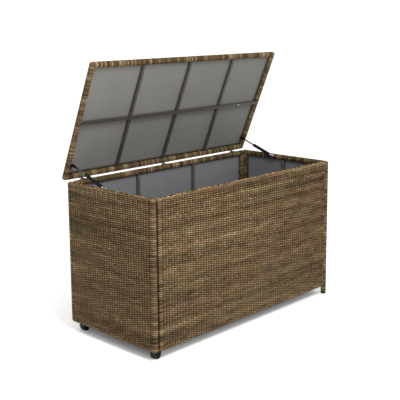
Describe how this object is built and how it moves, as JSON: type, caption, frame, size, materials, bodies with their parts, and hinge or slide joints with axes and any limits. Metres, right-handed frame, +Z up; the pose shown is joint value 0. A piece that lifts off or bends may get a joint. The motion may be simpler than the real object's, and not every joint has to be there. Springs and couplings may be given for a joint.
{
  "type": "garden storage box",
  "caption": "Large woven garden storage box on castors and legs, with a hinged lid held open by gas struts and liners inside.",
  "frame": {"origin": "on the floor under the middle of the bounding box with the lid standing open", "axes": "+Z up, +X to the right along the box, the front faces -Y"},
  "size_m": [1.655, 0.806, 1.6652],
  "materials": {
    "wicker": "woven flat strand in mixed browns",
    "liner_cloth": "grey coated cloth on board",
    "coated_tube": "dark powder coat",
    "base_board": "board under grey cloth",
    "black_plastic": "moulded",
    "black_steel": "satin black paint",
    "zinc_steel": "zinc plated",
    "bronze_strap": "brown coated steel",
    "rod_chrome": "ground and chromed"
  },
  "bodies": {
    "box": {"back_frame": "coated_tube", "back_liner": "liner_cloth", "back_weave": "wicker", "base_board": "base_board", "base_frame": "coated_tube", "body_screws": "zinc_steel", "castor_screws": "zinc_steel", "front_castor_plate": "zinc_steel", "front_frame": "coated_tube", "front_liner": "liner_cloth", "front_weave": "wicker", "hinge_pins": "zinc_steel", "left_frame": "coated_tube", "left_hinge_body_leaf": "bronze_strap", "left_liner": "liner_cloth", "left_strut_body_bracket": "black_steel", "left_weave": "wicker", "middle_hinge_body_leaf": "bronze_strap", "panel_bolts": "zinc_steel", "rear_castor_plate": "zinc_steel", "right_frame": "coated_tube", "right_front_foot": "black_plastic", "right_hinge_body_leaf": "bronze_strap", "right_liner": "liner_cloth", "right_rear_foot": "black_plastic", "right_strut_body_bracket": "black_steel", "right_weave": "wicker"},
    "front_castor": {"front_castor_axle": "zinc_steel", "front_castor_housing": "black_plastic"},
    "front_inner_wheel": {"front_castor_inner_wheel": "black_plastic"},
    "front_outer_wheel": {"front_castor_outer_wheel": "black_plastic"},
    "lid": {"left_hinge_lid_leaf": "bronze_strap", "left_strut_lid_bracket": "black_steel", "lid_frame": "coated_tube", "lid_liner": "liner_cloth", "lid_long_bar": "coated_tube", "lid_screws": "zinc_steel", "lid_short_bars": "coated_tube", "lid_weave": "wicker", "middle_hinge_lid_leaf": "bronze_strap", "right_hinge_lid_leaf": "bronze_strap", "right_strut_lid_bracket": "black_steel"},
    "left_cylinder": {"left_strut_cylinder": "black_steel", "left_strut_foot_fitting": "zinc_steel"},
    "left_rod": {"left_strut_rod": "rod_chrome", "left_strut_rod_fitting": "zinc_steel"},
    "rear_castor": {"rear_castor_axle": "zinc_steel", "rear_castor_housing": "black_plastic"},
    "rear_inner_wheel": {"rear_castor_inner_wheel": "black_plastic"},
    "rear_outer_wheel": {"rear_castor_outer_wheel": "black_plastic"},
    "right_cylinder": {"right_strut_cylinder": "black_steel", "right_strut_foot_fitting": "zinc_steel"},
    "right_rod": {"right_strut_rod": "rod_chrome", "right_strut_rod_fitting": "zinc_steel"}
  },
  "joints": [
    {"name": "lid_hinge", "type": "hinge", "parent": "box", "child": "lid", "pos_m": [0, 0.36781, 0.9335], "axis": [1, 0, 0], "range_deg": [0, 67]},
    {"name": "left_strut_swing", "type": "hinge", "parent": "box", "child": "left_cylinder", "pos_m": [-0.7735, 0.05501, 0.927], "axis": [1, 0, 0], "range_deg": [-14, 0]},
    {"name": "left_strut_slide", "type": "slide", "parent": "left_cylinder", "child": "left_rod", "axis": [0, 0.9413, 0.3375], "range_m": [-0.094, 0], "stiffness_N_per_m": 500, "springref_m": 0.3},
    {"name": "right_strut_swing", "type": "hinge", "parent": "box", "child": "right_cylinder", "pos_m": [0.7735, 0.05501, 0.927], "axis": [1, 0, 0], "range_deg": [-14, 0]},
    {"name": "right_strut_slide", "type": "slide", "parent": "right_cylinder", "child": "right_rod", "axis": [0, 0.9413, 0.3375], "range_m": [-0.094, 0], "stiffness_N_per_m": 500, "springref_m": 0.3},
    {"name": "front_castor_swivel", "type": "hinge", "parent": "box", "child": "front_castor", "pos_m": [-0.7405, -0.34299, 0.05], "axis": [0, 0, 1], "continuous": true},
    {"name": "front_outer_wheel_spin", "type": "hinge", "parent": "front_castor", "child": "front_outer_wheel", "pos_m": [-0.7625, -0.34299, 0.024], "axis": [0, 1, 0], "continuous": true},
    {"name": "front_inner_wheel_spin", "type": "hinge", "parent": "front_castor", "child": "front_inner_wheel", "pos_m": [-0.7625, -0.34299, 0.024], "axis": [0, 1, 0], "continuous": true},
    {"name": "rear_castor_swivel", "type": "hinge", "parent": "box", "child": "rear_castor", "pos_m": [-0.7405, 0.29701, 0.05], "axis": [0, 0, 1], "continuous": true},
    {"name": "rear_outer_wheel_spin", "type": "hinge", "parent": "rear_castor", "child": "rear_outer_wheel", "pos_m": [-0.7625, 0.29701, 0.024], "axis": [0, 1, 0], "continuous": true},
    {"name": "rear_inner_wheel_spin", "type": "hinge", "parent": "rear_castor", "child": "rear_inner_wheel", "pos_m": [-0.7625, 0.29701, 0.024], "axis": [0, 1, 0], "continuous": true}
  ],
  "couplings": [
    {"joint": "left_strut_swing", "follows": "lid_hinge", "ratio": -0.20486},
    {"joint": "left_strut_slide", "follows": "lid_hinge", "m_per_rad": -0.078415},
    {"joint": "right_strut_swing", "follows": "lid_hinge", "ratio": -0.20486},
    {"joint": "right_strut_slide", "follows": "lid_hinge", "m_per_rad": -0.078415}
  ]
}
